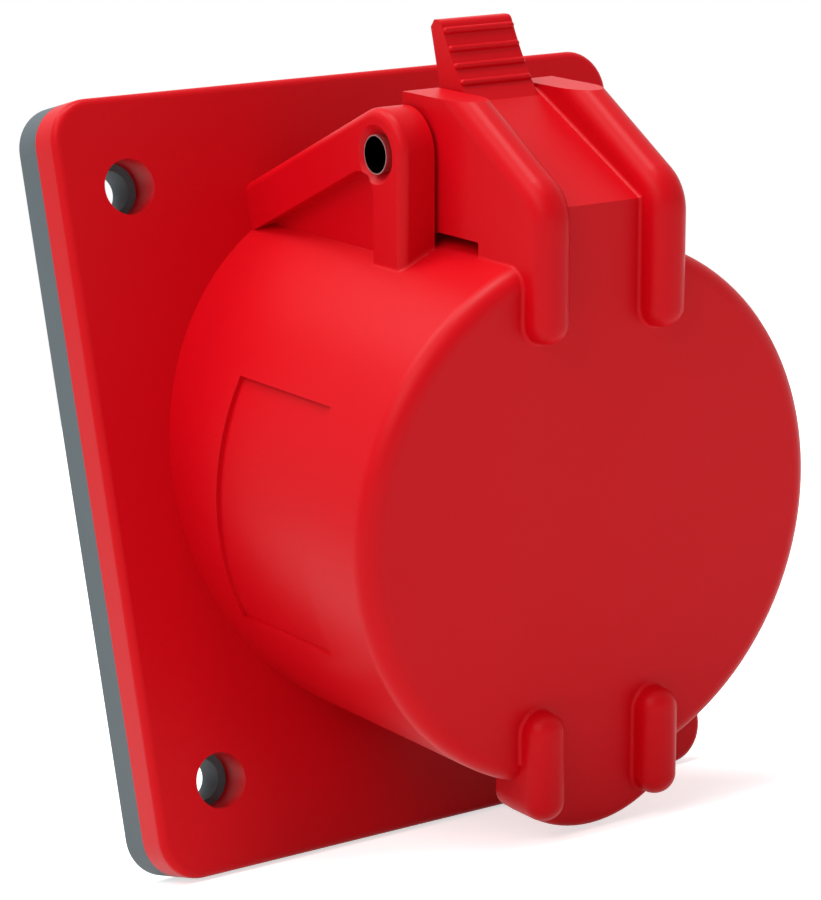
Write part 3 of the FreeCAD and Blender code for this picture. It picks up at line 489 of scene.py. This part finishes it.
def build_wound_spring():
    """A wire that runs straight, winds round Z at an even pitch, and runs straight off."""
    tree, given, out = new_tree(
        "wound_spring",
        {"Geometry": GEOMETRY, "Coil Radius": NUMBER, "Wire": NUMBER, "Pitch": NUMBER, "Turns": NUMBER,
         "First Leg": NUMBER, "Last Leg": NUMBER, "Steps": COUNT, "Sides": COUNT, "Finish": MATERIAL},
        {"Geometry": GEOMETRY},
        "GeometryNodeTree",
    )
    # The wire's length: a leg, the coil and a leg
    radius = given["Coil Radius"]
    climb = maths(tree, "DIVIDE", given["Pitch"], 2 * math.pi)
    squares = [maths(tree, "MULTIPLY", side, side) for side in (radius, climb)]
    travel = maths(tree, "SQRT", maths(tree, "ADD", *squares))
    full_turn = maths(tree, "MULTIPLY", given["Turns"], 2 * math.pi)
    coil = maths(tree, "MULTIPLY", full_turn, travel)
    legs = maths(tree, "ADD", given["First Leg"], given["Last Leg"])
    whole = maths(tree, "ADD", coil, legs)

    # Each point of a line goes to its place along the wire: on the coil, or straight on beyond it
    line = tree.nodes.new("GeometryNodeCurvePrimitiveLine")
    points = add(tree, "GeometryNodeResampleCurve", Curve=line.outputs["Curve"], Count=given["Steps"])
    share = tree.nodes.new("GeometryNodeSplineParameter").outputs["Factor"]
    run = maths(tree, "SUBTRACT", maths(tree, "MULTIPLY", share, whole), given["First Leg"])
    wanted_turn = maths(tree, "MAXIMUM", maths(tree, "DIVIDE", run, travel), 0.0)
    turn = maths(tree, "MINIMUM", wanted_turn, full_turn)
    beyond = maths(tree, "SUBTRACT", run, maths(tree, "MULTIPLY", turn, travel))
    cosine = maths(tree, "MULTIPLY", maths(tree, "COSINE", turn), radius)
    sine = maths(tree, "MULTIPLY", maths(tree, "SINE", turn), radius)
    height = maths(tree, "MULTIPLY", turn, climb)
    on_coil = add(tree, "ShaderNodeCombineXYZ", X=cosine, Y=sine, Z=height)
    way = add(tree, "ShaderNodeCombineXYZ", X=maths(tree, "MULTIPLY", sine, -1.0), Y=cosine, Z=climb)
    ahead = add(tree, "ShaderNodeVectorMath", operation="SCALE", Vector=way.outputs["Vector"],
                Scale=maths(tree, "DIVIDE", beyond, travel))
    place = vector_maths(tree, "ADD", on_coil.outputs["Vector"], ahead.outputs["Vector"])
    wound = add(tree, "GeometryNodeSetPosition", Geometry=points.outputs["Curve"], Position=place)

    # Round wire along those points
    section = add(tree, "GeometryNodeCurvePrimitiveCircle", Resolution=given["Sides"],
                  Radius=maths(tree, "DIVIDE", given["Wire"], 2.0))
    wire = add(tree, "GeometryNodeCurveToMesh", Curve=wound.outputs["Geometry"],
               Profile_Curve=section.outputs["Curve"], Fill_Caps=True)
    finish_tree(tree, given, out, wire.outputs["Mesh"])
    return tree


def build_screw_row():
    """One screw on each point, its head along the point's aim and its slot turned at random."""
    tree, given, out = new_tree(
        "screw_row",
        {"Geometry": GEOMETRY, "Screw": OBJECT, "Seed": COUNT, "Finish": MATERIAL},
        {"Geometry": GEOMETRY},
        "GeometryNodeTree",
    )
    screw = add(tree, "GeometryNodeObjectInfo", Object=given["Screw"])
    aim = add(tree, "GeometryNodeInputNamedAttribute", data_type="FLOAT_VECTOR", Name="aim")
    stand = add(tree, "FunctionNodeAlignRotationToVector", axis="Z", Vector=aim.outputs["Attribute"])
    chance = add(tree, "FunctionNodeRandomValue", data_type="FLOAT", Seed=given["Seed"])
    angle = maths(tree, "MULTIPLY", output_of(chance, "VALUE"), 2 * math.pi)
    turn = add(tree, "FunctionNodeAxisAngleToRotation", Axis=(0.0, 0.0, 1.0), Angle=angle)
    turned = add(tree, "FunctionNodeRotateRotation", rotation_space="LOCAL",
                 Rotation=stand.outputs["Rotation"], Rotate_By=turn.outputs["Rotation"])
    row = add(tree, "GeometryNodeInstanceOnPoints", Points=given["Geometry"],
              Instance=screw.outputs["Geometry"], Rotation=turned.outputs["Rotation"])
    finish_tree(tree, given, out, row.outputs["Instances"])
    return tree


WOUND_SPRING = build_wound_spring()
SCREW_ROW = build_screw_row()


def plain_mesh(name, shape):
    """The mesh of a finished bmesh shape, which is freed."""
    mesh = bpy.data.meshes.new(name)
    shape.to_mesh(mesh)
    shape.free()
    return mesh


def lathe(name, profile, sides):
    """A closed turned shape from (radius, height) points, both ends on the axis."""
    shape = bmesh.new()
    turns = [2 * math.pi * i / sides for i in range(sides)]
    circle = [(math.cos(turn), math.sin(turn)) for turn in turns]
    rings = []
    for radius, height in profile:
        spots = circle if radius else [(0, 0)]
        rings.append([shape.verts.new((radius * x, radius * y, height)) for x, y in spots])
    for low, high in zip(rings, rings[1:]):
        for i in range(sides):
            j = (i + 1) % sides
            corners = [low[i % len(low)], low[j % len(low)], high[j % len(high)], high[i % len(high)]]
            shape.faces.new(list(dict.fromkeys(corners)))
    bmesh.ops.recalc_face_normals(shape, faces=shape.faces)
    return plain_mesh(name, shape)


def cutting_bar(name, width, length, depth, top):
    """A bar that cuts a slot of this width and depth into a head whose top is at a height."""
    shape = bmesh.new()
    bmesh.ops.create_cube(shape, size=1.0)
    bmesh.ops.scale(shape, verts=shape.verts, vec=(length, width, 2 * depth))
    bmesh.ops.translate(shape, verts=shape.verts, vec=(0, 0, top))
    return new_object(name, plain_mesh(name, shape))


def screw_blank(name, size, dome):
    """A screw's shank and head, domed over this share of its height or flat for zero."""
    head, head_height = size.head_across / 2 * MM, size.head_height * MM
    shank, shank_length = size.shank_across / 2 * MM, size.shank_length * MM
    edge = EDGE_BREAK * head
    profile = [
        (0, -shank_length),
        (shank - edge, -shank_length),
        (shank, -shank_length + edge),
        (shank, 0),
        (head - edge / 2, 0),
        (head, edge / 2),
    ]
    if dome:
        shoulder = head_height * (1 - dome)
        for i in range(DOME_STEPS):
            turn = math.pi / 2 * i / DOME_STEPS
            profile.append((head * math.cos(turn), shoulder + head_height * dome * math.sin(turn)))
    else:
        profile += [(head, head_height - edge), (head - edge, head_height)]
    profile.append((0, head_height))
    return new_object(name, lathe(name, profile, SCREW_SIDES))


def cut_head(blank, bars):
    """Cut the driver's recess into a screw's head, and leave a plain mesh."""
    for bar in bars:
        cut = blank.modifiers.new("recess", "BOOLEAN")
        cut.operation = "DIFFERENCE"
        cut.solver = "EXACT"
        cut.object = bar
    mesh = mesh_of(blank)
    blank.modifiers.clear()
    blank.data = mesh
    for bar in bars:
        bpy.data.objects.remove(bar)
    shade_smooth(mesh, SCREW_SHARP_ANGLE)
    return blank


def pan_head_screw(name, size):
    """A screw with a domed head and a cross recess."""
    blank = screw_blank(name, size, dome=DOME_SHARE)
    width, depth = RECESS_WIDTH * MM, RECESS_DEPTH * MM
    reach, top = CROSS_REACH * size.head_across * MM, size.head_height * MM
    bars = [
        cutting_bar(name + "_bar", width, reach, depth, top),
        cutting_bar(name + "_cross", reach, width, depth, top),
    ]
    return cut_head(blank, bars)


def slotted_screw(name, size):
    """A clamp screw with a flat head and one slot right across it."""
    blank = screw_blank(name, size, dome=0)
    width, depth = SLOT_WIDTH * MM, SLOT_DEPTH * MM
    across, top = 2 * size.head_across * MM, size.head_height * MM
    return cut_head(blank, [cutting_bar(name + "_bar", width, across, depth, top)])


def screw_points(name, places):
    """A host mesh with one point per screw, each with the way its head looks."""
    mesh = bpy.data.meshes.new(name)
    mesh.from_pydata([place for place, aim in places], [], [])
    aims = mesh.attributes.new("aim", "FLOAT_VECTOR", "POINT")
    aims.data.foreach_set("vector", [part for place, aim in places for part in aim])
    return mesh


def place_screws(name, screw, places, node):
    """Screws on their places, riding on the socket in place of the CAD's plainer ones."""
    values = {"Screw": screw, "Seed": SCREW_SEED, "Finish": screw_zinc}
    row = made_by_nodes(name, screw_points(name, places), SCREW_ROW, values)
    bpy.data.objects.remove(screw)
    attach(row, "socket")
    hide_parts(node)


def way_out(angle):
    """The way straight out from the collar's axis at an angle in degrees."""
    turn = math.radians(angle)
    return collar_way(math.cos(turn), 0, math.sin(turn))


def round_axis(angle, radius, forward):
    """A place in millimetres on a circle round the collar's axis, in the object's frame."""
    return collar_point(0, forward, 0) + way_out(angle) * radius * MM


def make_carrier_screws():
    """The three screws that hold the insert in the housing."""
    spots = [round_axis(angle, CARRIER_CIRCLE, CARRIER_SCREW_BACK) for angle in CARRIER_ANGLES]
    places = [(spot, -FORWARD) for spot in spots]
    screw = pan_head_screw("small_pan_head", CARRIER_SCREW)
    place_screws("carrier_pan_heads", screw, places, "carrier_screws")


def make_centre_screw():
    """The long screw that joins the insert's two halves."""
    screw = pan_head_screw("long_pan_head", CENTRE_SCREW)
    places = [(collar_point(0, CENTRE_SCREW_BACK, 0), -FORWARD)]
    place_screws("centre_pan_head", screw, places, "centre_screw")


def make_terminal_screws():
    """The terminals' clamp screws, which look out from the axis."""
    places = []
    for angle in TERMINAL_ANGLES:
        seat = EARTH_SEAT if angle == EARTH_ANGLE else TERMINAL_SEAT
        places.append((round_axis(angle, seat, TERMINAL_SCREW_BACK), way_out(angle)))
    screw = slotted_screw("clamp_screw", TERMINAL_SCREW)
    place_screws("terminal_clamps", screw, places, "terminal_screws")


def make_spring():
    """The lid's torsion spring, coiled round the pin; it is built in one shape and does not wind up as
    the lid turns.
    """
    values = {
        "Coil Radius": SPRING_RADIUS, "Wire": SPRING_WIRE, "Pitch": SPRING_PITCH,
        "Turns": SPRING_TURNS, "First Leg": SPRING_LID_LEG, "Last Leg": SPRING_COLLAR_LEG,
        "Steps": SPRING_STEPS, "Sides": SPRING_SIDES, "Finish": spring_wire,
    }
    spring = made_by_nodes("wound_lid_spring", bpy.data.meshes.new("spring_host"), WOUND_SPRING, values)
    half_coil = SPRING_TURNS * SPRING_PITCH / 2
    rear, down, left = -FORWARD, -collar_way(0, 0, 1), -collar_way(1, 0, 0)
    stand = Matrix((rear, down, left)).transposed().to_4x4()
    start = PIN_CENTRE + Vector((half_coil, 0, 0))
    spring.data.transform(Matrix.Translation(start) @ stand)
    shade_smooth(spring.data, SPRING_SHARP_ANGLE)
    spring.data.update()
    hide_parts("lid_spring")
    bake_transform(spring)


def aimed(place, aim, roll=0.0):
    """The matrix that stands a camera or a lamp at a place, looking at its aim."""
    turn = (aim - place).to_track_quat("-Z", "Y") @ Quaternion((0, 0, 1), roll)
    return Matrix.Translation(place) @ turn.to_matrix().to_4x4()


def make_camera():
    """Camera at the photograph's place and angle."""
    data = bpy.data.cameras.new("camera")
    data.sensor_width = CAMERA_SENSOR
    data.sensor_fit = "HORIZONTAL"
    data.lens = CAMERA_LENS
    data.clip_start = CAMERA_NEAR
    camera = new_object("camera", data)
    camera.matrix_world = aimed(CAMERA_PLACE, CAMERA_AIM, CAMERA_ROLL)
    bpy.context.scene.camera = camera


def seen_directly(tree):
    """One for rays from the eye and for mirrored or clear-through ones, else zero."""
    path = tree.nodes.new("ShaderNodeLightPath").outputs
    seen = maths(tree, "MAXIMUM", path["Is Camera Ray"], path["Is Glossy Ray"])
    return maths(tree, "MAXIMUM", seen, path["Is Transmission Ray"])


def floor_material():
    """A matt pale floor that looks white away from the object and keeps its shadow."""
    material = bpy.data.materials.new("pale_floor")
    material.use_nodes = True
    tree = material.node_tree
    shader = shader_of(material)
    shader.inputs["Base Color"].default_value = FLOOR_COLOUR
    shader.inputs["Roughness"].default_value = FLOOR_ROUGHNESS
    shader.inputs["Specular IOR Level"].default_value = 0.0
    shader.inputs["Emission Color"].default_value = WHITE
    distance = vector_maths(tree, "LENGTH", object_place(tree))
    glow = add(tree, "ShaderNodeMapRange", Value=distance, From_Max=FLOOR_GLOW_REACH,
               To_Min=FLOOR_GLOW_NEAR, To_Max=FLOOR_GLOW_FAR)
    strength = maths(tree, "MULTIPLY", glow.outputs["Result"], seen_directly(tree))
    feed(tree, shader.inputs["Emission Strength"], strength)
    return material


def make_floor():
    """A plain pale floor that reaches to the horizon."""
    low = cad_box[0][2] - FLOOR_DROP
    corners = ((-1, -1), (1, -1), (1, 1), (-1, 1))
    mesh = bpy.data.meshes.new("floor")
    mesh.from_pydata([(FLOOR_HALF * x, FLOOR_HALF * y, low) for x, y in corners], [], [(0, 1, 2, 3)])
    floor = new_object("floor", mesh)
    mesh.materials.append(floor_material())


def make_lamp(lamp):
    """A square area lamp that points at the socket."""
    data = bpy.data.lights.new(lamp.name, "AREA")
    data.shape = "SQUARE"
    data.size = lamp.size
    data.energy = lamp.power
    new_object(lamp.name, data).matrix_world = aimed(Vector(lamp.place), LAMP_AIM)


def make_light():
    """Soft studio light from the lamps in a pale room that looks white."""
    world = bpy.data.worlds.new("studio")
    bpy.context.scene.world = world
    world.use_nodes = True
    tree = world.node_tree
    room = tree.nodes["Background"]
    room.inputs["Color"].default_value = WHITE
    strength = add(tree, "ShaderNodeMapRange", Value=seen_directly(tree), To_Min=ROOM_LIGHT,
                   To_Max=ROOM_SEEN)
    feed(tree, room.inputs["Strength"], strength.outputs["Result"])
    for lamp in LAMPS:
        make_lamp(lamp)


dress_nodes()
make_carrier_screws()
make_centre_screw()
make_terminal_screws()
make_spring()
make_camera()
make_floor()
make_light()
bpy.context.scene.view_settings.view_transform = "Standard"
